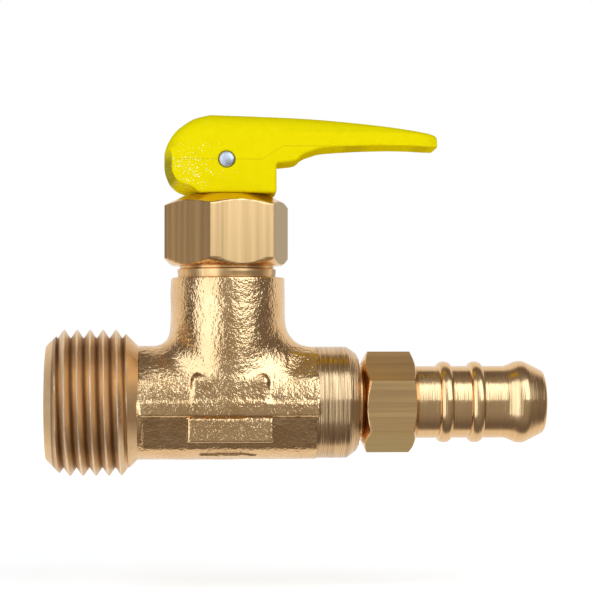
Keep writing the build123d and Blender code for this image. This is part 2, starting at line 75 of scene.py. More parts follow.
# Forged tee
TUBE_R = 8.17
TEE_START = -14.0
TEE_END = 12.82
BOSS_TOP = 17.9
BOSS_TOP_R = 8.125
BOSS_FOOT = -1.5
BOSS_FOOT_R = 8.5
BOSS_SHIFT = 0.17  # the forging's boss stands a little past the stem axis
INLET_BLEND = 2.6
OUTLET_BLEND = 4.2
SHOULDER_CUT = 0.26  # flatter facet high on the outlet side of the tube
SHOULDER_SLANT = math.radians(42.0)
SHOULDER_RUN = (4.0, 9.0)
CROWN_CUT = 0.2  # flat along the top of the tube, towards the outlet
CROWN_RUN = (6.0, 10.0)
CROWN_ROUND = 0.2
COARSE_LUMP = 0.05  # unevenness of the forging: height and size
COARSE_SIZE = 3.1
FINE_LUMP = 0.03
FINE_SIZE = 1.3
WAIST_DEPTH = 0.55  # hollow high on the inlet side of the tube
WAIST_SLANT = 0.72
WAIST_SPREAD = 0.36
WAIST_RUN = (-13.0, -9.5)
FACET_ROUND = 0.15
FACET_CLEAR = 2.0  # how far a facet stands off where it has faded out
BLEND_RUN = (-4.0, 4.0)
BLEND_LEAST = 0.05
BOSS_FOOT_ROUND = 0.4
BOSS_RIM_ROUND = 0.35
RIM_RAGGED = 0.4  # share of the forging's unevenness
EDGE_RAGGED = 0.7
FACE_RAGGED = 0.5  # share of an edge's
END_RAGGED = 1.6
BAND_FACE = 8.36
BAND_RISE = 0.25
BAND_DROP = -1.6
BAND_START = -12.6
APRON_FACE = 8.3
APRON_START = -5.2
APRON_END = 5.7
APRON_RISE = 4.4
BAND_ROUND = 0.25
BAND_END_ROUND = 0.5
APRON_ROUND = 0.7
APRON_RISE_ROUND = 1.6
BAND_TO_APRON = 0.6
BAND_TO_TUBE = 0.4
PANEL_REACH = 7.75  # flat panel face to the flow axis
PANEL_SLANT = math.radians(-32.0)
PANEL_START = -12.3
PANEL_FADE = 0.5
PAD_START = -5.7
PAD_END = 6.3
PAD_FACE = 8.16
PAD_TOP = -1.95
PAD_FOOT = -5.35
PAD_ROUND = 0.3
RELIEF_FILLET = 0.12
ARROW_START = -3.9
ARROW_NECK = 1.7
ARROW_POINT = 4.4
ARROW_DROP = -7.3
ARROW_PROUD = 0.22
ARROW_SIDE = 3.67  # from the stem axis towards the camera, at the arrow's middle
ARROW_HEAD_HALF = 0.62
ARROW_BAR_HALF = 0.33
ARROW_ROUND = 0.1
ARROW_TOP_ROUND = 0.15
TEE_CELL = 0.2
TEE_LOW = (-15.0, -9.4, -9.4)
TEE_HIGH = (13.6, 9.4, 18.6)

# Inside the tee; a bore is cut wider than the turned lining that stands in it
SOCKET_R = 7.05
SOCKET_FLOOR = 10.5
CHAMBER_R = 5.5  # room for the disc holder to lift
CHAMBER_FLOOR = 5.0
SEAT_LIP_R = 3.3
SEAT_LIP_TOP = 5.6
SEAT_BORE_R = 2.5
SEAT_BORE_TOP = 6.0
BORE_ROOM = 0.5
BORE_STOP = -10.5
GAS_WAY_STOP = 5.0
NOZZLE_SOCKET_ROOM = 0.7
NOZZLE_SOCKET_STOP = 10.0

# Closing spring, with the valve shut
SPRING_R = 4.1  # middle of the wire
SPRING_WIRE_R = 0.45
SPRING_WIRE_END_R = 0.02
SPRING_TURNS = 4
SPRING_FOOT = 10.97
SPRING_HEAD = 19.98

# Turned outlet end
TURNED_START = 12.5
TURNED_R = 8.0
TURNED_END = 17.2
OUTLET_FACE = 18.8
OUTLET_FACE_R = 6.6
OUTLET_EDGE_R = 7.06
OUTLET_EDGE = 0.3
OUTLET_EDGE_ROUND = 0.2
OUTLET_FACE_ROUND = 0.15
TURNED_FACE = 0.6
TURNED_ROUND = 0.5
NOZZLE_SOCKET_R = 5.09
NOZZLE_SOCKET_FLOOR = 10.4

# Bonnet
NECK_R = 7.0
NECK_FOOT = 12.0
NECK_FACE = 0.8
NECK_STEP = (0.35, 0.75)  # slight step above the boss: where it starts and ends
NECK_STEP_OUT = 0.06
NECK_STEP_ROUND = 0.1
NECK_GROOVE = (0.55, 0.4, 0.12)  # below the hexagon: edge, floor's start and end
NECK_GROOVE_IN = 0.28
NECK_GROOVE_ROUND = 0.08
NECK_FLARE = 0.05
HEX_FOOT = 19.6
HEX_TOP = 29.7
BONNET_FLAT_R = 8.0
BONNET_TURN = math.radians(14.0)
BONNET_FOOT_R = 7.9
BONNET_FOOT_CHAMFER = 1.0
BONNET_TOP_R = 6.0
BONNET_TOP_CHAMFER = 1.55
STEM_BORE_R = 3.05
STEM_BORE_CHAMFER = 0.3
STEM_BORE_ROUND = 0.05
STEM_BORE_DEPTH = 6.0
HEX_CORNER_ROUND = 0.18
HEX_EDGE_SOFT = 0.12
HEX_CROWDING = 2.2  # how much the mesh crowds towards the corners
HEX_CONE_ROWS = 26
HEX_CONE_SPAN = 1.7  # cone lengths that these rows cover

# Hose nozzle
NOZZLE_HEX = 19.3
NOZZLE_TAIL = 27.25
NOZZLE_FLAT_R = 6.35
NOZZLE_TURN = math.radians(34.0)
NOZZLE_INNER_R = 5.55
NOZZLE_OUTER_R = 5.2
NOZZLE_CHAMFER = 0.9
NOZZLE_TUBE_R = 5.19
NOZZLE_THREAD_R = 5.05
NOZZLE_FILLET = 0.1
NOZZLE_FOOT = 11.2
NOZZLE_RINGS = (31.3, 35.8)
RING_R = 5.86
RING_HALF = 1.0
RING_FOOT = 1.15  # share of the half width
BULB_START = 39.8
BULB_PEAK = 42.2
BULB_R = 5.92
BULB_SLOPE = 0.515
BULB_FLAT = 0.4
BULB_ROUND = 0.3
BULB_STOP = 0.2  # before the nozzle's end
NOZZLE_END = 45.7
NOZZLE_END_R = 4.4
NOZZLE_BORE_R = 3.25
NOZZLE_LIP = ((-0.05, 0.0), (0.06, -0.15), (0.1, -0.4))  # off the end and its radius
NOZZLE_MOUTH = 0.1
NOZZLE_MOUTH_CHAMFER = 0.3
NOZZLE_MOUTH_DEPTH = 0.2

# Lever, about its pin
LEVER_CELL = 0.2
LEVER_NOSE_HALF = 6.2
LEVER_TIP_HALF = 4.5
LEVER_NOSE = -8.86
LEVER_TIP = 30.15
LEVER_FOOT = -4.72
LEVER_EDGE_ROUND = 0.3
LEVER_CROWN_ROUND = 2.4
NOSE_BEVEL = 1.1  # along the lever
NOSE_BEVEL_ACROSS = 3.0
LEVER_SLOT_HALF = 2.65
LEVER_SLOT_R = 3.5
SLOT_ROUND = 0.3
LEVER_DRAFT = 0.05  # the sides lean in, away from the parting line
TIP_NARROWS = 0.9
TIP_RUN = (27.0, 30.6)
CROWN_RISE = (0.6, 2.6)  # above the parting line
CROWN_FADE = (14.0, 26.0)
BEVEL_RUN = (3.5, 5.5)
BEVEL_LEAST = 0.02
LEVER_LOW = (-9.2, -7.2, -5.6)
LEVER_HIGH = (30.6, 7.2, 6.9)
PIN_R = 1.175
PIN_LENGTH = 11.55
PIN_DOME = ((0.12, 0.02), (0.1, 0.45), (0.02, 0.85), (-0.12, 1.06), (-0.3, PIN_R))
PIN_HOLE_PLAY = 0.03
PIN_HOLE_ROUND = 0.2
CURVE_STEPS = 6

COLUMNS = 96  # round a turned shape
FINE_COLUMNS = 128  # round one that shows at full size
PIN_COLUMNS = 64

FORGING_LATTICE = np.random.default_rng(11).uniform(-1, 1, (32, 32, 32))


def smooth_min(a, b, reach):
    """The lesser of two distances, with a fillet of about `reach` where they meet."""
    overlap = np.maximum(reach - np.abs(a - b), 0) / np.maximum(reach, 1e-6)
    return np.minimum(a, b) - overlap * overlap * reach / 4


def smooth_max(a, b, reach):
    """The greater of two distances, with a rounded corner."""
    return -smooth_min(-a, -b, reach)


def slab(value, low, high):
    """Distance outside the interval from low to high."""
    return np.maximum(low - value, value - high)


def ease(value, start, end):
    """Smooth step from 0 at start to 1 at end."""
    part = np.clip((value - start) / (end - start), 0, 1)
    return part * part * (3 - 2 * part)


def forging_noise(x, y, z, size):
    """Smooth noise between -1 and 1, with lumps about `size` across."""
    place = [x / size, y / size, z / size]
    cell = [np.floor(p).astype(int) for p in place]
    part = [p - c for p, c in zip(place, cell)]
    part = [p * p * (3 - 2 * p) for p in part]
    total = np.zeros_like(x)
    for corner in np.ndindex(2, 2, 2):
        weight = np.ones_like(x)
        for p, side in zip(part, corner):
            weight = weight * (p if side else 1 - p)
        index = tuple((c + side) % len(FORGING_LATTICE) for c, side in zip(cell, corner))
        total += weight * FORGING_LATTICE[index]
    return total


def surface_net(field, low, high, cell, rounds=3):
    """Points and quads on the zero level of a distance field."""
    low = np.array(low, float)
    counts = [int(math.ceil((top - bottom) / cell)) + 1 for bottom, top in zip(low, high)]
    axes = [bottom + cell * np.arange(count) for bottom, count in zip(low, counts)]
    inside = field(*np.meshgrid(*axes, indexing="ij")) < 0
    filled = np.zeros([count - 1 for count in counts], int)
    for corner in np.ndindex(2, 2, 2):
        filled += inside[tuple(slice(c, c + count - 1) for c, count in zip(corner, counts))]
    mixed = (filled > 0) & (filled < 8)
    number = np.full(mixed.shape, -1)
    number[mixed] = np.arange(mixed.sum())
    points = low + cell * (np.argwhere(mixed) + 0.5)
    quads = []
    for axis in range(3):
        a = (axis + 1) % 3
        b = (axis + 2) % 3
        lower = np.take(inside, np.arange(counts[axis] - 1), axis)
        upper = np.take(inside, np.arange(1, counts[axis]), axis)
        edges = np.argwhere(lower != upper)
        whole = (edges[:, a] > 0) & (edges[:, b] > 0)
        whole &= (edges[:, a] < counts[a] - 1) & (edges[:, b] < counts[b] - 1)
        edges = edges[whole]
        step_a = np.eye(3, dtype=int)[a]
        step_b = np.eye(3, dtype=int)[b]
        around = [edges - step_a - step_b, edges - step_b, edges, edges - step_a]
        quad = np.stack([number[tuple(c.T)] for c in around], axis=1)
        outward = lower[tuple(edges.T)]
        quads.append(np.where(outward[:, None], quad, quad[:, ::-1]))
    quads = np.concatenate(quads)
    for _ in range(rounds):
        points = onto_surface(field, points, cell)
        points = relaxed(points, quads)
    return onto_surface(field, points, cell), quads


def onto_surface(field, points, cell):
    """Points moved onto the zero level along the field's slope."""
    step = cell / 4
    for _ in range(2):
        value = field(*points.T)
        slope = np.empty_like(points)
        for axis in range(3):
            offset = np.eye(3)[axis] * step
            slope[:, axis] = (field(*(points + offset).T) - field(*(points - offset).T)) / (2 * step)
        steepness = np.maximum((slope * slope).sum(axis=1), 0.05)
        move = np.clip(value / steepness, -cell, cell)
        points = points - slope * move[:, None]
    return points


def relaxed(points, quads):
    """Points drawn half way to the middle of their neighbours, for an even mesh."""
    total = np.zeros_like(points)
    count = np.zeros(len(points))
    for first in range(4):
        start = quads[:, first]
        for other in (quads[:, first - 1], quads[:, (first + 1) % 4]):
            for axis in range(3):
                total[:, axis] += np.bincount(start, points[other, axis], len(points))
            count += np.bincount(start, minlength=len(points))
    return (points + total / np.maximum(count, 1)[:, None]) / 2


def grid_faces(rows, columns, closed=True):
    """Quads between neighbouring rows of a ring grid."""
    row = np.arange(rows - 1)[:, None]
    column = np.arange(columns if closed else columns - 1)[None, :]
    after = (column + 1) % columns
    corners = [row * columns + column, row * columns + after]
    corners += [(row + 1) * columns + after, (row + 1) * columns + column]
    return np.stack(np.broadcast_arrays(*corners), axis=-1).reshape(-1, 4)


def rounded_path(corners, steps=5):
    """Polyline through (along, radius, corner round) points, with arcs at the corners."""
    path = []
    for i, (along, radius, bend) in enumerate(corners):
        here = np.array([along, radius], float)
        if bend == 0 or i in (0, len(corners) - 1):
            path.append(here)
            continue
        back = np.array(corners[i - 1][:2]) - here
        ahead = np.array(corners[i + 1][:2]) - here
        back /= np.linalg.norm(back)
        ahead /= np.linalg.norm(ahead)
        half = math.acos(np.clip(np.dot(back, ahead), -1, 1)) / 2
        reach = bend / math.tan(half)
        for t in np.linspace(0, 1, steps):
            start = here + back * reach
            end = here + ahead * reach
            path.append((1 - t) ** 2 * start + 2 * t * (1 - t) * here + t * t * end)
    return np.array(path)


def lathe(path, columns, axis):
    """Points and quads of a path turned about the flow axis (x) or the stem axis (z)."""
    angle = np.linspace(0, 2 * math.pi, columns, endpoint=False)
    along = np.repeat(path[:, :1], columns, axis=1)
    across = path[:, 1:] * np.cos(angle)
    upward = path[:, 1:] * np.sin(angle)
    order = (along, across, upward) if axis == "x" else (across, upward, along)
    points = np.stack(order, axis=-1).reshape(-1, 3)
    return points, grid_faces(len(path), columns)


def hexagon_angles(per_side=13):
    """Turn angles round a hexagon, crowded towards its corners."""
    spread = 30 - 30 * np.linspace(1, 0, per_side) ** HEX_CROWDING
    corner = np.concatenate([spread - 30, 30 - spread[::-1][1:]])[:-1]
    return np.radians((corner[None, :] + 60 * np.arange(6)[:, None] + 30).ravel())


def hexagon_radius(angle, flat_r):
    """Distance from the axis to a hexagon with rounded corners; a corner lies at zero."""
    off = np.abs((angle + math.pi / 6) % (math.pi / 3) - math.pi / 6)
    straight = flat_r / np.cos(math.pi / 6 - off)
    middle = (flat_r - HEX_CORNER_ROUND) / math.cos(math.pi / 6)
    tangent = math.atan2(
        HEX_CORNER_ROUND * math.sin(math.pi / 6),
        middle + HEX_CORNER_ROUND * math.cos(math.pi / 6),
    )
    inner = np.maximum(HEX_CORNER_ROUND**2 - (middle * np.sin(off)) ** 2, 0)
    return np.where(off < tangent, middle * np.cos(off) + np.sqrt(inner), straight)


def hexagon_head(start, end, flat_r, start_cone, end_cone, turn, axis):
    """Hexagon with both ends turned to a cone; a cone is (radius at the end, length)."""
    angle = hexagon_angles()
    corner_r = flat_r / math.cos(math.pi / 6)
    near = np.linspace(0, HEX_CONE_SPAN, HEX_CONE_ROWS)
    along = np.concatenate([start + near * start_cone[1], end - near[::-1] * end_cone[1]])
    first = start_cone[0] + (along - start) * (corner_r - start_cone[0]) / start_cone[1]
    last = end_cone[0] + (end - along) * (corner_r - end_cone[0]) / end_cone[1]
    envelope = np.minimum(first, last)
    radius = smooth_min(hexagon_radius(angle, flat_r)[None, :], envelope[:, None], HEX_EDGE_SOFT)
    along = np.repeat(along[:, None], len(angle), axis=1)
    across = radius * np.cos(angle + turn)
    upward = radius * np.sin(angle + turn)
    order = (along, across, upward) if axis == "x" else (across, upward, along)
    points = np.stack(order, axis=-1).reshape(-1, 3)
    return points, grid_faces(len(along), len(angle))


def joined(*shells):
    """Several (points, quads) shells as one."""
    points = []
    quads = []
    count = 0
    for shell_points, shell_quads in shells:
        points.append(shell_points)
        quads.append(shell_quads + count)
        count += len(shell_points)
    return np.concatenate(points), np.concatenate(quads)


def add_piece(name, shell, body, nodes, material, centre=(STEM_X, 0, 0), sharp=35):
    """One visual mesh in the CAD frame that stands for CAD nodes and rides on a body."""
    points, quads = shell
    mesh = bpy.data.meshes.new(name)
    mesh.from_pydata(((points + np.array(centre)) * MM).tolist(), [], quads.tolist())
    mesh.validate()
    piece = bpy.data.objects.new(name, mesh)
    bpy.context.scene.collection.objects.link(piece)
    mesh.polygons.foreach_set("use_smooth", np.ones(len(mesh.polygons), bool))
    mesh.set_sharp_from_angle(angle=math.radians(sharp))
    mesh.materials.append(material)
    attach(piece, body)
    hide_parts(*nodes)
    return piece


def tee_hollow(x, y, z):
    """Bonnet socket, disc chamber with its seat, and the bores along the flow axis."""
    radial = np.hypot(y, z)
    upright = np.hypot(x, y)
    socket = np.maximum(upright - SOCKET_R, SOCKET_FLOOR - z)
    chamber = np.maximum(upright - CHAMBER_R, CHAMBER_FLOOR - z)
    lip = np.maximum(upright - SEAT_LIP_R, z - SEAT_LIP_TOP)
    ways = [
        np.maximum(chamber, -lip),
        np.maximum(upright - SEAT_BORE_R, slab(z, 0.0, SEAT_BORE_TOP)),
        np.maximum(radial - INLET_BORE_R - BORE_ROOM, x - BORE_STOP),
        np.maximum(radial - GAS_WAY_R - BORE_ROOM, x - GAS_WAY_STOP),
        np.maximum(radial - NOZZLE_SOCKET_R - NOZZLE_SOCKET_ROOM, NOZZLE_SOCKET_STOP - x),
    ]
    for way in ways:
        socket = np.minimum(socket, way)
    return socket


def tilted(side, z, slant):
    """Distance from the flow axis along a direction that leans up by `slant`."""
    return side * math.cos(slant) + z * math.sin(slant)


def tee_reliefs(x, y, z, lumps):
    """Side band with its apron, marking pad and flow arrow, each a distance field."""
    side = np.abs(y)
    ragged = lumps * EDGE_RAGGED
    band = side - BAND_FACE + ragged * FACE_RAGGED
    band = smooth_max(band, slab(z + ragged, BAND_DROP, BAND_RISE), BAND_ROUND)
    band = smooth_max(band, slab(x, BAND_START, TEE_END + 1), BAND_END_ROUND)
    apron = side - APRON_FACE + ragged * FACE_RAGGED
    apron = smooth_max(apron, slab(x + ragged, APRON_START, APRON_END), APRON_ROUND)
    apron = smooth_max(apron, slab(z + ragged, BAND_DROP, APRON_RISE), APRON_RISE_ROUND)
    pad = smooth_max(side - PAD_FACE, slab(x, PAD_START, PAD_END), PAD_ROUND)
    pad = smooth_max(pad, slab(z, PAD_FOOT, PAD_TOP), PAD_ROUND)
    head = ARROW_HEAD_HALF * (ARROW_POINT - x) / (ARROW_POINT - ARROW_NECK)
    half = np.where(x < ARROW_NECK, ARROW_BAR_HALF, head)
    arc = np.arctan2(z, -y) * TUBE_R - math.atan2(ARROW_DROP, ARROW_SIDE) * TUBE_R
    arrow = smooth_max(np.abs(arc) - half, slab(x, ARROW_START, ARROW_POINT), ARROW_ROUND)
    arrow = smooth_max(arrow, np.hypot(y, z) - TUBE_R - ARROW_PROUD, ARROW_TOP_ROUND)
    return smooth_min(band, apron, BAND_TO_APRON), pad, smooth_max(arrow, y, ARROW_ROUND)


def tee_field(x, y, z):
    """Forged tee: tube and boss with their blend, the reliefs on its sides and its hollows."""
    side = np.abs(y)
    radial = np.hypot(y, z)
    upright = np.hypot(x, y)
    lumps = COARSE_LUMP * forging_noise(x, y, z, COARSE_SIZE)
    lumps = lumps + FINE_LUMP * forging_noise(x, y, z, FINE_SIZE)
    waist = np.exp(-(((np.arctan2(z, side) - WAIST_SLANT) / WAIST_SPREAD) ** 2))
    tube = radial - TUBE_R + WAIST_DEPTH * (waist * (1 - ease(x, *WAIST_RUN))) + lumps
    facet = tilted(side, z, SHOULDER_SLANT) - TUBE_R + SHOULDER_CUT
    tube = smooth_max(tube, facet - FACET_CLEAR * (1 - ease(x, *SHOULDER_RUN)), FACET_ROUND)
    tube = smooth_max(tube, z - TUBE_R + CROWN_CUT * ease(x, *CROWN_RUN), CROWN_ROUND)
    boss_r = BOSS_TOP_R + (BOSS_FOOT_R - BOSS_TOP_R) * (BOSS_TOP - z) / (BOSS_TOP - BOSS_FOOT)
    boss = np.hypot(x - BOSS_SHIFT, y) - boss_r + lumps
    boss = smooth_max(boss, BOSS_FOOT - z, BOSS_FOOT_ROUND)
    panel = tilted(side, z, PANEL_SLANT) - PANEL_REACH + lumps
    shown = ease(x, PANEL_START - PANEL_FADE, PANEL_START + PANEL_FADE)
    tube = smooth_max(tube, panel - FACET_CLEAR * (1 - shown), FACET_ROUND)
    likeness = side * side / np.maximum(radial * upright, 1e-6)
    blend = INLET_BLEND + (OUTLET_BLEND - INLET_BLEND) * ease(x, *BLEND_RUN)
    tee = smooth_min(tube, boss, blend * (1 - likeness**2) + BLEND_LEAST)
    band, pad, arrow = tee_reliefs(x, y, z, lumps)
    tee = smooth_min(tee, band, BAND_TO_TUBE)
    tee = smooth_min(tee, pad, RELIEF_FILLET)
    tee = smooth_min(tee, arrow, RELIEF_FILLET)
    tee = smooth_max(tee, z - BOSS_TOP + RIM_RAGGED * lumps, BOSS_RIM_ROUND)
    tee = np.maximum(tee, slab(x + END_RAGGED * lumps, TEE_START, TEE_END))
    return np.maximum(tee, -tee_hollow(x, y, z))


def spring_coil():
    """Round-wire spring, as fitted with the valve shut."""
    turn = np.linspace(0, 2 * math.pi * SPRING_TURNS, 64 * SPRING_TURNS + 1)
    wire_r = np.full(len(turn), SPRING_WIRE_R)
    turn = np.concatenate([turn[:1], turn, turn[-1:]])
    wire_r = np.concatenate([[SPRING_WIRE_END_R], wire_r, [SPRING_WIRE_END_R]])
    around = np.linspace(0, 2 * math.pi, 16, endpoint=False)
    rise = SPRING_HEAD - SPRING_FOOT - 2 * SPRING_WIRE_R
    middle = SPRING_FOOT + SPRING_WIRE_R + rise * turn / turn[-1]
    reach = SPRING_R + wire_r[:, None] * np.cos(around)
    height = middle[:, None] + wire_r[:, None] * np.sin(around)
    across = reach * np.cos(turn)[:, None]
    beside = reach * np.sin(turn)[:, None]
    points = np.stack([across, beside, height], axis=-1)
    return points.reshape(-1, 3), grid_faces(len(turn), len(around))


def inlet_thread():
    """Lead-in, helical thread and run-out cone, on rows that follow the helix."""
    columns = 180
    per_pitch = 22
    spare = 2
    turns = math.ceil((INLET_BURIED - INLET_FACE) / THREAD_PITCH) + 2 * spare
    skipped = math.floor((INLET_FACE - THREAD_PHASE) / THREAD_PITCH - spare)
    start = THREAD_PHASE + THREAD_PITCH * skipped
    angle = np.linspace(0, 2 * math.pi, columns + 1)
    wave = np.arange(turns * per_pitch + 1) / per_pitch
    along = start + THREAD_PITCH * (wave[:, None] + angle[None, :] / (2 * math.pi))
    limited = np.clip(along, INLET_FACE, INLET_BURIED)
    lead_in = INLET_FACE_R + limited - INLET_FACE
    run_out = INLET_MAJOR_R - (limited - INLET_RUN_OUT)
    envelope = np.minimum(np.minimum(lead_in, run_out), INLET_MAJOR_R)
    phase = np.abs(wave - np.round(wave)) * 2
    groove = np.sqrt(phase**2 + THREAD_CREST_ROUND**2) - THREAD_CREST_ROUND
    rounding = (phase - THREAD_ROOT_FROM) ** 2 / (2 * (1 - THREAD_ROOT_FROM))
    groove = np.where(phase > THREAD_ROOT_FROM, groove - rounding, groove)
    threaded = INLET_MAJOR_R - THREAD_DEPTH * groove[:, None] / groove.max()
    radius = smooth_min(envelope, np.repeat(threaded, columns + 1, axis=1), THREAD_END_SOFT)
    points = np.stack([limited, radius * np.cos(angle), radius * np.sin(angle)], axis=-1)
    quads = grid_faces(len(wave), columns + 1, closed=False)
    corners = limited.ravel()[quads]
    quads = quads[corners.max(axis=1) - corners.min(axis=1) > 1e-6]
    return points.reshape(-1, 3), quads


def inlet_end():
    """Threaded inlet with its end face, bore and gas way."""
    bore = rounded_path(
        [
            (INLET_FACE, INLET_FACE_R, 0),
            (INLET_FACE, INLET_BORE_R + INLET_CHAMFER, 0),
            (INLET_FACE + INLET_CHAMFER, INLET_BORE_R, 0),
            (INLET_BORE_END, INLET_BORE_R, 0),
            (INLET_BORE_END + GAS_WAY_CONE, GAS_WAY_R, 0),
            (GAS_WAY_END, GAS_WAY_R, 0),
            (GAS_WAY_POINT, 0.01, 0),
        ]
    )
    return joined(inlet_thread(), lathe(bore[::-1], COLUMNS, "x"))


def outlet_end():
    """Turned outlet end with its rounded edge and the mouth of the nozzle's socket."""
    path = rounded_path(
        [
            (TURNED_START, TURNED_R - TURNED_FACE, 0),
            (TURNED_START, TURNED_R, 0),
            (TURNED_END, TURNED_R, TURNED_ROUND),
            (OUTLET_FACE - OUTLET_EDGE, OUTLET_EDGE_R, OUTLET_EDGE_ROUND),
            (OUTLET_FACE, OUTLET_FACE_R, OUTLET_FACE_ROUND),
            (OUTLET_FACE, NOZZLE_SOCKET_R, 0),
            (NOZZLE_SOCKET_FLOOR, NOZZLE_SOCKET_R, 0),
        ]
    )
    return lathe(path, FINE_COLUMNS, "x")


def bonnet():
    """Hexagon bonnet on its threaded neck."""
    head = hexagon_head(
        HEX_FOOT,
        HEX_TOP,
        BONNET_FLAT_R,
        (BONNET_FOOT_R, BONNET_FOOT_CHAMFER),
        (BONNET_TOP_R, BONNET_TOP_CHAMFER),
        BONNET_TURN,
        "z",
    )
    foot = rounded_path(
        [
            (NECK_FOOT, NECK_R - NECK_FACE, 0),
            (NECK_FOOT, NECK_R, 0),
            (BOSS_TOP + NECK_STEP[0], NECK_R, 0),
            (BOSS_TOP + NECK_STEP[1], NECK_R + NECK_STEP_OUT, NECK_STEP_ROUND),
            (HEX_FOOT - NECK_GROOVE[0], NECK_R + NECK_STEP_OUT, NECK_STEP_ROUND),
            (HEX_FOOT - NECK_GROOVE[1], NECK_R - NECK_GROOVE_IN, NECK_GROOVE_ROUND),
            (HEX_FOOT - NECK_GROOVE[2], NECK_R - NECK_GROOVE_IN, NECK_GROOVE_ROUND),
            (HEX_FOOT, NECK_R + NECK_FLARE, 0),
            (HEX_FOOT, BONNET_FOOT_R, 0),
        ]
    )
    top = rounded_path(
        [
            (HEX_TOP, BONNET_TOP_R, 0),
            (HEX_TOP, STEM_BORE_R + STEM_BORE_CHAMFER, STEM_BORE_ROUND),
            (HEX_TOP - STEM_BORE_CHAMFER, STEM_BORE_R, STEM_BORE_ROUND),
            (HEX_TOP - STEM_BORE_DEPTH, STEM_BORE_R, 0),
        ]
    )
    return joined(head, lathe(foot, FINE_COLUMNS, "z"), lathe(top, COLUMNS, "z"))


def nozzle_hexagon():
    """The nozzle's hexagon with the end of its thread."""
    head = hexagon_head(
        NOZZLE_HEX,
        NOZZLE_TAIL,
        NOZZLE_FLAT_R,
        (NOZZLE_INNER_R, NOZZLE_CHAMFER),
        (NOZZLE_OUTER_R, NOZZLE_CHAMFER),
        NOZZLE_TURN,
        "x",
    )
    foot = rounded_path(
        [
            (NOZZLE_FOOT, NOZZLE_BORE_R, 0),
            (NOZZLE_FOOT, NOZZLE_THREAD_R, 0),
            (NOZZLE_HEX - NOZZLE_FILLET, NOZZLE_THREAD_R, 0),
            (NOZZLE_HEX, NOZZLE_THREAD_R + NOZZLE_FILLET, 0),
            (NOZZLE_HEX, NOZZLE_INNER_R, 0),
        ]
    )
    return joined(head, lathe(foot, COLUMNS, "x"))


def nozzle_tail():
    """The nozzle's tube: two half-round rings, bulb and bore."""
    tail = [(NOZZLE_TAIL, NOZZLE_OUTER_R), (NOZZLE_TAIL, NOZZLE_TUBE_R)]
    for middle in NOZZLE_RINGS:
        turn = np.linspace(-1, 1, 21)
        tail += [(middle - RING_HALF * RING_FOOT, NOZZLE_TUBE_R)]
        swell = np.sqrt(np.maximum(1 - turn**2, 0)) * (RING_R - NOZZLE_TUBE_R)
        tail += list(zip(middle + RING_HALF * turn, NOZZLE_TUBE_R + swell))
        tail += [(middle + RING_HALF * RING_FOOT, NOZZLE_TUBE_R)]
    rise = np.linspace(0, 1, 14)
    swell = NOZZLE_TUBE_R + (BULB_R - NOZZLE_TUBE_R) * ease(rise, 0, 1)
    tail += list(zip(BULB_START + (BULB_PEAK - BULB_START) * rise, swell))
    fall = np.linspace(0, 1, 16)[1:]
    past = (NOZZLE_END - BULB_PEAK - BULB_STOP) * fall
    sloped = np.maximum(past - BULB_FLAT, 0)
    drop = BULB_SLOPE * (np.hypot(sloped, BULB_ROUND) - BULB_ROUND)
    tail += list(zip(BULB_PEAK + past, BULB_R - drop))
    tail += [(NOZZLE_END + along, NOZZLE_END_R + out) for along, out in NOZZLE_LIP]
    tail += [(NOZZLE_END + NOZZLE_MOUTH, NOZZLE_BORE_R + NOZZLE_MOUTH_CHAMFER)]
    tail += [(NOZZLE_END - NOZZLE_MOUTH_DEPTH, NOZZLE_BORE_R), (NOZZLE_FOOT, NOZZLE_BORE_R)]
    return lathe(np.array(tail), FINE_COLUMNS, "x")


def arc_points(centre, radius, start, end, steps):
    """Points on an arc, angles in degrees."""
    angle = np.radians(np.linspace(start, end, steps))
    return np.stack([centre[0] + radius * np.cos(angle), centre[1] + radius * np.sin(angle)], axis=1)


def smooth_curve(points, steps):
    """Catmull-Rom curve through the points."""
    points = np.array(points, float)
    padded = np.concatenate([2 * points[:1] - points[1:2], points, 2 * points[-1:] - points[-2:-1]])
    t = np.linspace(0, 1, steps, endpoint=False)[:, None]
    spans = []
    for a, b, c, d in zip(padded, padded[1:], padded[2:], padded[3:]):
        square = a - 2.5 * b + 2 * c - d / 2
        cube = 1.5 * (b - c) + (d - a) / 2
        spans.append(b + t * (c - a) / 2 + t**2 * square + t**3 * cube)
    return np.concatenate(spans + [points[-1:]])


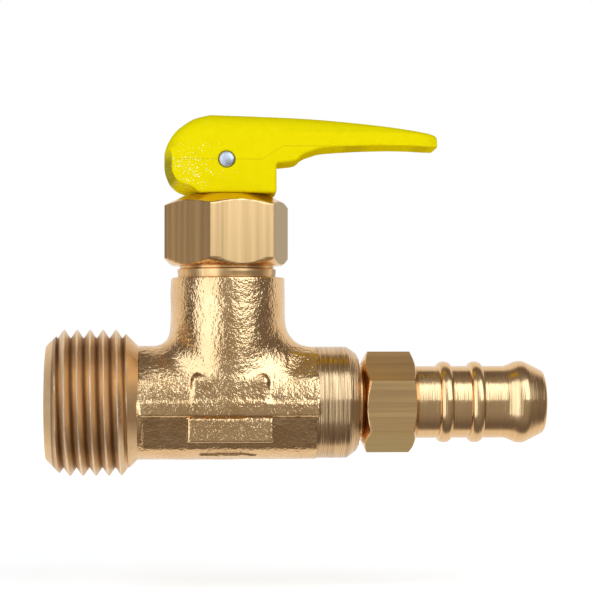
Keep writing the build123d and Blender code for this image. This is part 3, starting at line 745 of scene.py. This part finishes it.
def lever_outline():
    """Side outline of the lever about its pin, anticlockwise seen from the camera."""
    brow = [(-8.86, -0.5), (-8.86, 0.6), (-8.7, 1.5), (-8.1, 2.9), (-7.0, 4.35), (-5.1, 5.72)]
    brow = smooth_curve(brow + [(-3.68, 6.24), (-2.3, 6.54)], CURVE_STEPS)[CURVE_STEPS:]
    top = [(-2.3, 6.54), (-0.9, 6.5), (4.8, 6.34), (12.6, 6.0), (19.0, 5.4), (25.4, 4.54), (29.0, 3.9)]
    top = smooth_curve(top, CURVE_STEPS)
    tip = [(29.75, 3.62), (29.98, 3.3), (30.03, 2.5), (30.03, 2.0), (29.9, 1.8)]
    under = [(29.7, 1.78), (26.1, 2.02), (21.7, 2.05), (17.3, 1.87), (13.66, 1.6), (12.2, 1.21)]
    under = smooth_curve(under + [(11.2, 0.88)], CURVE_STEPS)
    notch = [(11.2, 0.88), (10.6, 0.5), (10.0, -0.05), (9.28, -0.3), (8.4, -0.4), (7.6, -0.48)]
    notch = smooth_curve(notch, CURVE_STEPS)
    heel = arc_points((7.45, -0.88), 0.4, 90, 180, 5).tolist()
    heel += arc_points((6.58, LEVER_FOOT + 0.5), 0.5, 0, -85, 6).tolist()
    foot = [(-5.2, LEVER_FOOT), (-6.3, -4.52), (-7.4, -3.98), (-8.2, -3.2), (-8.64, -2.3)]
    nose = smooth_curve(foot + [(-8.83, -1.4), (-8.86, -0.6)], 5)
    runs = [heel, nose, brow, top, tip, under, notch]
    return np.concatenate([np.array(run, float) for run in runs])[::-1]


def outline_distance(outline):
    """Grid of signed distances to a closed outline, as a function of x and z."""
    step = 0.08
    low = outline.min(axis=0) - 1.5
    high = outline.max(axis=0) + 1.5
    xs = np.arange(low[0], high[0], step)
    zs = np.arange(low[1], high[1], step)
    gx, gz = np.meshgrid(xs, zs, indexing="ij")
    nearest = np.full(gx.shape, 1e9)
    within = np.zeros(gx.shape, bool)
    for (ax, az), (bx, bz) in zip(outline, np.roll(outline, -1, axis=0)):
        ex = bx - ax
        ez = bz - az
        length = max(ex * ex + ez * ez, 1e-12)
        t = np.clip(((gx - ax) * ex + (gz - az) * ez) / length, 0, 1)
        nearest = np.minimum(nearest, np.hypot(gx - ax - t * ex, gz - az - t * ez))
        if az != bz:
            crosses = (az > gz) != (bz > gz)
            within ^= crosses & (gx < ax + (gz - az) * ex / ez)
    table = np.where(within, -nearest, nearest)

    def distance(x, z):
        fx = np.clip((x - low[0]) / step, 0, len(xs) - 1.001)
        fz = np.clip((z - low[1]) / step, 0, len(zs) - 1.001)
        ix = fx.astype(int)
        iz = fz.astype(int)
        px = fx - ix
        pz = fz - iz
        near = table[ix, iz] * (1 - pz) + table[ix, iz + 1] * pz
        far = table[ix + 1, iz] * (1 - pz) + table[ix + 1, iz + 1] * pz
        return near * (1 - px) + far * px

    return distance


def lever_field_maker():
    """Distance field of the cast lever about its pin."""
    profile = outline_distance(lever_outline())
    parting = [(-9, -0.1), (0, 0.0), (4.6, 0.1), (6.0, 0.75), (7.2, 1.6)]
    parting = smooth_curve(parting + [(9, 1.92), (20, 1.92), (31, 1.9)], 10)
    taper = (LEVER_TIP_HALF - LEVER_NOSE_HALF) / (LEVER_TIP - LEVER_NOSE)

    def lever_field(x, y, z):
        side = np.abs(y)
        half = LEVER_NOSE_HALF + taper * (x - LEVER_NOSE) - TIP_NARROWS * ease(x, *TIP_RUN) ** 2
        split = np.interp(x, parting[:, 0], parting[:, 1])
        half = half - LEVER_DRAFT * np.abs(z - split)
        outside = profile(x, z)
        fuller = (LEVER_CROWN_ROUND - LEVER_EDGE_ROUND) * ease(z - split, *CROWN_RISE)
        crown = (LEVER_EDGE_ROUND + fuller) * (1 - 0.5 * ease(x, *CROWN_FADE))
        body = smooth_max(outside, side - half, 1.4 * crown)
        along = BEVEL_LEAST + NOSE_BEVEL * ease(-x, *BEVEL_RUN) * (1 - ease(z, *CROWN_RISE))
        bevel = outside / along + (side - half) / NOSE_BEVEL_ACROSS + 1
        body = np.maximum(body, bevel / np.hypot(1 / along, 1 / NOSE_BEVEL_ACROSS))
        arch = np.where(x > 0, np.hypot(x, np.maximum(z, 0)), z)
        slot = np.maximum(side - LEVER_SLOT_HALF, arch - LEVER_SLOT_R)
        slot = np.maximum(slot, x - LEVER_SLOT_R)
        body = smooth_max(body, -slot, SLOT_ROUND)
        hole = np.hypot(x, z) - PIN_R - PIN_HOLE_PLAY
        return smooth_max(body, -hole, PIN_HOLE_ROUND)

    return lever_field


def turned_on_stem(shell, angle):
    """A shell turned about the stem axis."""
    points, quads = shell
    c = math.cos(angle)
    s = math.sin(angle)
    x = points[:, 0] * c - points[:, 1] * s
    y = points[:, 0] * s + points[:, 1] * c
    return np.stack([x, y, points[:, 2]], axis=1), quads


def lever_pin():
    """Cross pin with slightly domed, chamfered ends."""
    half = PIN_LENGTH / 2
    dome = [(half + past, radius) for past, radius in PIN_DOME]
    path = np.array(dome + [(-a, r) for a, r in dome[::-1]])
    points, quads = lathe(path, PIN_COLUMNS, "x")
    return np.stack([-points[:, 1], points[:, 0], points[:, 2]], axis=1), quads


class Nodes:
    """The node tree of a material or world, with short ways to add and link nodes."""

    def __init__(self, owner):
        owner.use_nodes = True
        self.owner = owner
        self.tree = owner.node_tree

    def add(self, kind, **settings):
        node = self.tree.nodes.new(kind)
        for key, value in settings.items():
            setattr(node, key, value)
        return node

    def link(self, source, target):
        self.tree.links.new(source, target)

    def place(self, scale=(1, 1, 1)):
        """Object coordinates, stretched by a scale for each axis."""
        coordinates = self.add("ShaderNodeTexCoord")
        mapping = self.add("ShaderNodeMapping")
        mapping.inputs["Scale"].default_value = scale
        self.link(coordinates.outputs["Object"], mapping.inputs["Vector"])
        return mapping.outputs["Vector"]

    def noise(self, vector, scale, detail=3.0, rough=0.55):
        node = self.add("ShaderNodeTexNoise")
        node.inputs["Scale"].default_value = scale
        node.inputs["Detail"].default_value = detail
        node.inputs["Roughness"].default_value = rough
        self.link(vector, node.inputs["Vector"])
        return node.outputs["Fac"]

    def ramp(self, factor, stops):
        """Colour ramp from (place, colour) stops."""
        node = self.add("ShaderNodeValToRGB")
        ramp = node.color_ramp
        while len(ramp.elements) < len(stops):
            ramp.elements.new(0.5)
        for element, (place, colour) in zip(ramp.elements, stops):
            element.position = place
            element.color = (*colour, 1.0)
        self.link(factor, node.inputs["Fac"])
        return node.outputs["Color"]

    def range(self, factor, low, high, start=0.0, end=1.0):
        """A factor between start and end mapped to values between low and high."""
        node = self.add("ShaderNodeMapRange")
        node.inputs["From Min"].default_value = start
        node.inputs["From Max"].default_value = end
        node.inputs["To Min"].default_value = low
        node.inputs["To Max"].default_value = high
        self.link(factor, node.inputs["Value"])
        return node.outputs["Result"]

    def uneven(self, vector, scale, low, high):
        """Noise mapped to values between low and high."""
        return self.range(self.noise(vector, scale), low, high, *NOISE_SPAN)

    def parts(self, vector):
        """The X, Y and Z of a vector."""
        node = self.add("ShaderNodeSeparateXYZ")
        self.link(vector, node.inputs["Vector"])
        return node.outputs

    def length(self, vector):
        node = self.add("ShaderNodeVectorMath", operation="LENGTH")
        self.link(vector, node.inputs["Vector"])
        return node.outputs["Value"]

    def math(self, operation, *sources):
        """A sum on sockets and plain numbers."""
        node = self.add("ShaderNodeMath", operation=operation)
        for source, target in zip(sources, node.inputs):
            if isinstance(source, float):
                target.default_value = source
            else:
                self.link(source, target)
        return node.outputs["Value"]

    def mix(self, factor, below, above):
        """One colour laid over another by a factor; each is a socket or a plain colour."""
        node = self.add("ShaderNodeMix", data_type="RGBA")
        self.link(factor, node.inputs["Factor"])
        for name, colour in (("A", below), ("B", above)):
            if isinstance(colour, tuple):
                node.inputs[name].default_value = (*colour, 1.0)
            else:
                self.link(colour, node.inputs[name])
        return node.outputs["Result"]

    def bump(self, height, distance, strength=1.0, below=None):
        node = self.add("ShaderNodeBump")
        node.inputs["Distance"].default_value = distance
        node.inputs["Strength"].default_value = strength
        self.link(height, node.inputs["Height"])
        if below is not None:
            self.link(below, node.inputs["Normal"])
        return node.outputs["Normal"]

    def finish(self, colour=None, roughness=None, normal=None, **fixed):
        """The material, with sockets and fixed values on its shader."""
        inputs = self.tree.nodes["Principled BSDF"].inputs
        for name, value in fixed.items():
            inputs[name.replace("_", " ")].default_value = value
        for source, name in ((colour, "Base Color"), (roughness, "Roughness"), (normal, "Normal")):
            if source is not None:
                self.link(source, inputs[name])
        return self.owner


def material_nodes(name):
    """Nodes of a new material."""
    return Nodes(bpy.data.materials.new(name))


# Materials; lengths in the shaders are in metres
NOISE_SPAN = (0.3, 0.7)  # where most of a noise lies
BRASS_DEEP = (0.69, 0.42, 0.185)
BRASS = (0.76, 0.48, 0.225)
BRASS_PALE = (0.80, 0.535, 0.27)
RING_TONES = ((0.42, 0.255, 0.12), (0.61, 0.39, 0.19), (0.78, 0.52, 0.26))
THREAD_ROOT_SHADE = (0.36, 0.21, 0.10)
THREAD_FLANK = (0.74, 0.49, 0.26)
THREAD_CREST_HIGHLIGHT = (0.88, 0.69, 0.46)
COAT_DEEP = (0.76, 0.58, 0.001)
COAT = (0.80, 0.612, 0.002)
COAT_SHADE = (0.34, 0.26, 0.01)
PARTING_LINE_SHADE = (0.66, 0.49, 0.004)
PAINTED_GLINT = (0.97, 0.95, 0.7)
LINE_RISE = (4.8, 7.8, 1.92)  # parting line: start and end of its step along the lever, height
LINE_HALF = 0.05
GLINTS_AT = ((STEM_X - 5.5) * MM, 0.0, (PIN_Z - 1.2) * MM)
GLINTS_REACH = 0.0075
BRASS_DULL = (0.56, 0.335, 0.14)
BRASS_DULL_PALE = (0.82, 0.51, 0.215)
BRASS_PAINTED_SHADE = (0.33, 0.20, 0.04)
CONE_TILT = (0.2, 0.35)  # how far a surface leans along the bar, from flat to cone
THREAD_LEAD = 1.0  # plain brass before and after the thread
THREAD_TAIL = 0.6
PIN_TONES = ((0.48, 0.50, 0.53), (0.60, 0.62, 0.65))
WIRE_TONES = ((0.33, 0.33, 0.34), (0.47, 0.47, 0.48))
RUBBER_TONES = ((0.012, 0.012, 0.013), (0.028, 0.028, 0.03))
NOSE_FACING = (-0.4, -0.75)
NOSE_SHADE = (-0.5, 1.5)  # above the pin
GLINT_GAIN = 0.2
GLINT_FROM = (0.825, 0.86)


def forged_brass():
    """Forged skin: fine sparkling grain on a faint orange peel, slightly uneven in colour."""
    n = material_nodes("forged_brass_skin")
    place = n.place()
    colour = n.ramp(n.noise(place, 300), [(0.3, BRASS_DEEP), (0.55, BRASS), (0.8, BRASS_PALE)])
    rough = n.uneven(place, 600, 0.13, 0.2)
    peel = n.bump(n.noise(place, 1700, 1.0, 0.5), 0.00009)
    grain = n.bump(n.noise(place, 4400, 1.0, 0.5), 0.00005, below=peel)
    return n.finish(colour, rough, grain, Metallic=1.0)


def turned_brass(name, stretch, depth, tones=(BRASS_DEEP, BRASS, BRASS_PALE)):
    """Turned surface: marks that run along the axes with a small scale."""
    n = material_nodes(name)
    marks = n.place(stretch)
    colour = n.ramp(n.noise(marks, 1.0, 3.0), list(zip((0.3, 0.5, 0.75), tones)))
    rough = n.uneven(n.place(), 500, 0.14, 0.24)
    lines = n.bump(n.noise(marks, 1.0, 2.0, 0.6), depth)
    return n.finish(colour, rough, lines, Metallic=1.0)


def thread_brass():
    """Cut thread: dull flanks, painted shade in the roots and a painted highlight on the crests, by
    distance from the flow axis.
    """
    n = material_nodes("cut_brass_thread")
    root = (INLET_MAJOR_R - THREAD_DEPTH) * MM
    depth = n.range(n.length(n.place((0, 1, 1))), 0.0, 1.0, root, INLET_MAJOR_R * MM)
    # painted shade darkens the roots and a painted highlight brightens the crests, by radius
    stops = [(0.05, THREAD_ROOT_SHADE), (0.4, THREAD_FLANK), (0.85, THREAD_FLANK), (0.95, THREAD_CREST_HIGHLIGHT)]
    along = n.parts(n.place())["X"]
    start = (STEM_X + INLET_FACE + THREAD_LEAD) * MM
    end = (STEM_X + INLET_RUN_OUT + THREAD_TAIL) * MM
    after = n.range(along, 0.0, 1.0, start, start + 0.0001)
    before = n.range(along, 1.0, 0.0, end, end + 0.0001)
    colour = n.mix(n.math("MULTIPLY", after, before), BRASS_PALE, n.ramp(depth, stops))
    rough = n.uneven(n.place(), 900, 0.36, 0.5)
    lines = n.bump(n.noise(n.place((3600, 60, 60)), 1.0, 2.0, 0.6), 0.00006)
    return n.finish(colour, rough, lines, Metallic=1.0)


def hexagon_brass(name, axis, stretch, shade_axis, shade_from, shade_to):
    """Hexagon of drawn bar: flats with marks along the bar, painted shade on the flats that face one
    way, and bright turned cones.
    """
    n = material_nodes(name)
    marks = n.place(stretch)
    flats = n.ramp(n.noise(marks, 1.0, 3.0), [(0.3, BRASS_DULL), (0.7, BRASS_DULL_PALE)])
    facing = n.parts(n.add("ShaderNodeNewGeometry").outputs["True Normal"])
    cone = n.range(n.math("ABSOLUTE", facing[axis]), 0.0, 1.0, *CONE_TILT)
    # painted shade: flats that face along the given axis, in world space, are darkened
    flats = n.mix(n.range(facing[shade_axis], 0.0, 1.0, shade_from, shade_to), flats, BRASS_PAINTED_SHADE)
    rough = n.range(cone, 0.34, 0.2)
    lines = n.bump(n.noise(marks, 1.0, 2.0, 0.6), 0.00004)
    return n.finish(n.mix(cone, flats, BRASS), rough, lines, Metallic=1.0)


def yellow_coat():
    """Yellow coating: fine grain, painted shade along the parting line and on the nose edge, and
    painted glints on the nose.
    """
    n = material_nodes("yellow_coat")
    place = n.place()
    where = n.parts(place)
    facing = n.parts(n.add("ShaderNodeTexCoord").outputs["Normal"])
    colour = n.ramp(n.noise(place, 900), [(0.25, COAT_DEEP), (0.7, COAT)])

    # painted shade: a thin darker line along the parting line
    start, end, rise = LINE_RISE
    ends = ((STEM_X + start) * MM, (STEM_X + end) * MM)
    step = n.range(where["X"], PIN_Z * MM, (PIN_Z + rise) * MM, *ends)
    off = n.math("ABSOLUTE", n.math("SUBTRACT", where["Z"], step))
    line = n.range(off, 1.0, 0.0, LINE_HALF * MM, 2 * LINE_HALF * MM)
    colour = n.mix(line, colour, PARTING_LINE_SHADE)

    # painted shade on the surfaces that face the nose end, below the pin
    front = n.range(facing["X"], 0.0, 1.0, *NOSE_FACING)
    low = n.range(where["Z"], 1.0, 0.0, *[(PIN_Z + height) * MM for height in NOSE_SHADE])
    colour = n.mix(n.math("MULTIPLY", front, low), colour, COAT_SHADE)

    # painted highlight: pale glints mixed into the colour, more of them near the nose
    away = n.add("ShaderNodeVectorMath", operation="DISTANCE")
    n.link(n.place((1, 0, 1)), away.inputs[0])
    away.inputs[1].default_value = GLINTS_AT
    near = n.range(away.outputs["Value"], GLINT_GAIN, 0.0, 0.0, GLINTS_REACH)
    glint = n.math("ADD", n.noise(place, 4800, 1.0, 0.5), near)
    colour = n.mix(n.range(glint, 0.0, 1.0, *GLINT_FROM), colour, PAINTED_GLINT)

    grain = n.bump(n.noise(place, 4200, 2.0, 0.6), 0.00004)
    return n.finish(colour, None, grain, Specular_IOR_Level=0.0, Roughness=0.6)


def plain_skin(name, tones, rough, depth, scales, metallic):
    """Skin faintly uneven in colour, gloss and height, with a noise scale for each."""
    n = material_nodes(name)
    place = n.place()
    colour = n.ramp(n.noise(place, scales[0]), list(zip(NOISE_SPAN, tones)))
    grain = n.bump(n.noise(place, scales[2]), depth)
    return n.finish(colour, n.uneven(place, scales[1], *rough), grain, Metallic=metallic)


def dress(node, material):
    """Give a carried-over CAD node its material."""
    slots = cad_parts[node].data.materials
    slots.clear()
    slots.append(material)


forged = forged_brass()
ringed = turned_brass("turned_brass_rings", (4600, 24, 24), 0.0002, RING_TONES)
thread = thread_brass()
fine_ringed = turned_brass("turned_brass_fine", (7000, 30, 30), 0.00004)
# painted shade on the bonnet's flat that faces +x and on the nozzle hexagon's flat that faces down
hexagon_z = hexagon_brass("drawn_brass_upright", "Z", (1100, 1100, 14), "X", 0.88, 0.93)
hexagon_x = hexagon_brass("drawn_brass_level", "X", (14, 1100, 1100), "Z", -0.85, -0.88)
coat = yellow_coat()
steel = plain_skin("pin_steel_ground", PIN_TONES, (0.4, 0.55), 0.00004, (900, 1500, 3000), 1.0)
wire = plain_skin("spring_steel_drawn", WIRE_TONES, (0.25, 0.4), 0.00002, (700, 1800, 4000), 1.0)
rubber = plain_skin("seal_rubber_black", RUBBER_TONES, (0.5, 0.7), 0.00003, (900, 1500, 3500), 0.0)

on_pin = (STEM_X, 0, PIN_Z)
tee_shell = surface_net(tee_field, TEE_LOW, TEE_HIGH, TEE_CELL)
lever_shell = surface_net(lever_field_maker(), LEVER_LOW, LEVER_HIGH, LEVER_CELL)

add_piece("forged_tee", tee_shell, "root", ["valve_body"], forged, sharp=60)
add_piece("threaded_inlet", inlet_end(), "root", ["valve_body"], thread)
add_piece("turned_outlet", outlet_end(), "root", ["valve_body"], ringed)
add_piece("hexagon_bonnet", bonnet(), "root", ["bonnet"], hexagon_z)
add_piece("nozzle_hexagon", nozzle_hexagon(), "root", ["hose_nozzle"], hexagon_x)
add_piece("nozzle_tail", nozzle_tail(), "root", ["hose_nozzle"], fine_ringed)
turned_lever = turned_on_stem(lever_shell, LEVER_TURN)
turned_pin = turned_on_stem(lever_pin(), LEVER_TURN)
add_piece("toggle_lever", turned_lever, "lever", ["lever"], coat, on_pin, 60)
add_piece("cross_pin", turned_pin, "lever", ["lever_pin"], steel, on_pin)

coil = add_piece("spring_coil", spring_coil(), "root", ["closing_spring"], wire)
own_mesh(coil)

for node in ("stem", "disc_holder"):
    dress(node, fine_ringed)
for node in ("spring_washer", "stem_clip"):
    dress(node, wire)
for node in ("bonnet_gasket", "nozzle_gasket", "seat_disc"):
    dress(node, rubber)
for node in ("stem_o_ring_lower", "stem_o_ring_upper"):
    dress(node, rubber)

# Stage: white surroundings to the camera, a dim studio in front of the object, two soft boxes
scene = bpy.context.scene
scene.view_settings.view_transform = "Standard"
FLOOR_Z = -0.028
FLOOR_REACH = 1.5
FLOOR_COLOUR = (0.92, 0.86, 0.76)
FLOOR_LIFT_NEAR = 0.55  # added for the camera, so that the floor meets the white surroundings
FLOOR_LIFT_FAR = 0.9
FLOOR_LIFT_RUN = (0.1, 0.5)  # distances from the origin
CAMERA_TARGET = Vector((0.02961, 0.0, 0.01529))
CAMERA_DISTANCE = 0.285
CAMERA_AZIMUTH = math.radians(-3.745)
CAMERA_ELEVATION = math.radians(-1.104)
CAMERA_LENS = 120.3
LAMP_COLOUR = (0.86, 1.04, 1.32)
FILL_BELOW = 0.9
FILL_ABOVE = 0.1
OVERHEAD_SHADE = 0.4
STUDIO_LEVELS = (
    (-1.0, (0.38, 0.38, 0.38)),
    (-0.75, (0.34, 0.33, 0.33)),
    (-0.3, (0.18, 0.16, 0.16)),
    (0.06, (0.18, 0.16, 0.16)),
    (0.26, (1.0, 1.0, 1.0)),
)


def away_from(azimuth, elevation):
    """Unit vector from the object; azimuth 0 points to the viewer, 90 to the right."""
    level = math.cos(elevation)
    return Vector((math.sin(azimuth) * level, -math.cos(azimuth) * level, math.sin(elevation)))


def studio_world():
    """White to the camera, even fill, and for reflections a studio that is bright at the back."""
    world = bpy.data.worlds.new("studio")
    scene.world = world
    n = Nodes(world)
    paths = n.add("ShaderNodeLightPath").outputs
    direction = n.parts(n.add("ShaderNodeTexCoord").outputs["Generated"])
    upward = n.math("MAXIMUM", direction["Z"], 0.0)
    behind = n.math("MULTIPLY_ADD", upward, -OVERHEAD_SHADE, direction["Y"])
    stops = [((where + 1) / 2, colour) for where, colour in STUDIO_LEVELS]
    mirrored = n.ramp(n.range(behind, 0.0, 1.0, -1.0, 1.0), stops)
    fill = n.range(direction["Z"], FILL_BELOW, FILL_ABOVE, -1.0, 1.0)
    lit = n.mix(paths["Is Glossy Ray"], fill, mirrored)
    background = n.tree.nodes["Background"].inputs
    background["Strength"].default_value = 1.0
    n.link(n.mix(paths["Is Camera Ray"], lit, (1.0, 1.0, 1.0)), background["Color"])


def soft_box(name, azimuth, elevation, width, height, radiance, distance=0.5):
    """Area light of a given brightness, aimed at the middle of the object."""
    lamp = bpy.data.lights.new(name, "AREA")
    lamp.shape = "RECTANGLE"
    lamp.size = width
    lamp.size_y = height
    lamp.energy = radiance * math.pi * width * height
    lamp.color = LAMP_COLOUR
    light = bpy.data.objects.new(name, lamp)
    scene.collection.objects.link(light)
    away = away_from(math.radians(azimuth), math.radians(elevation))
    light.location = CAMERA_TARGET + away * distance
    light.rotation_euler = away.to_track_quat("Z", "Y").to_euler()
    light.visible_camera = False


def pale_floor():
    """Plain pale floor that takes the object's shadow and stays out of its reflections."""
    mesh = bpy.data.meshes.new("floor")
    signs = [(-1, -1), (1, -1), (1, 1), (-1, 1)]
    corners = [(x * FLOOR_REACH, y * FLOOR_REACH, FLOOR_Z) for x, y in signs]
    mesh.from_pydata(corners, [], [(0, 1, 2, 3)])
    floor = bpy.data.objects.new("floor", mesh)
    scene.collection.objects.link(floor)
    floor.visible_diffuse = False
    floor.visible_glossy = False
    floor.visible_shadow = False
    n = material_nodes("pale_floor")
    out = n.length(n.add("ShaderNodeNewGeometry").outputs["Position"])
    level = n.range(out, FLOOR_LIFT_NEAR, FLOOR_LIFT_FAR, *FLOOR_LIFT_RUN)
    seen = n.add("ShaderNodeLightPath").outputs["Is Camera Ray"]
    inputs = n.tree.nodes["Principled BSDF"].inputs
    inputs["Base Color"].default_value = (*FLOOR_COLOUR, 1.0)
    inputs["Roughness"].default_value = 0.9
    inputs["Emission Color"].default_value = (1.0, 1.0, 1.0, 1.0)
    n.link(n.math("MULTIPLY", seen, level), inputs["Emission Strength"])
    mesh.materials.append(n.owner)


studio_world()
soft_box("soft_box_left", -44, 10, 0.43, 1.1, 1.65)
soft_box("soft_box_right", 32, 32, 0.38, 0.5, 2.4)
pale_floor()

lens = bpy.data.cameras.new("camera")
lens.lens = CAMERA_LENS
lens.clip_start = 0.01
camera = bpy.data.objects.new("camera", lens)
scene.collection.objects.link(camera)
away = away_from(CAMERA_AZIMUTH, CAMERA_ELEVATION)
camera.location = CAMERA_TARGET + away * CAMERA_DISTANCE
camera.rotation_euler = away.to_track_quat("Z", "Y").to_euler()
scene.camera = camera
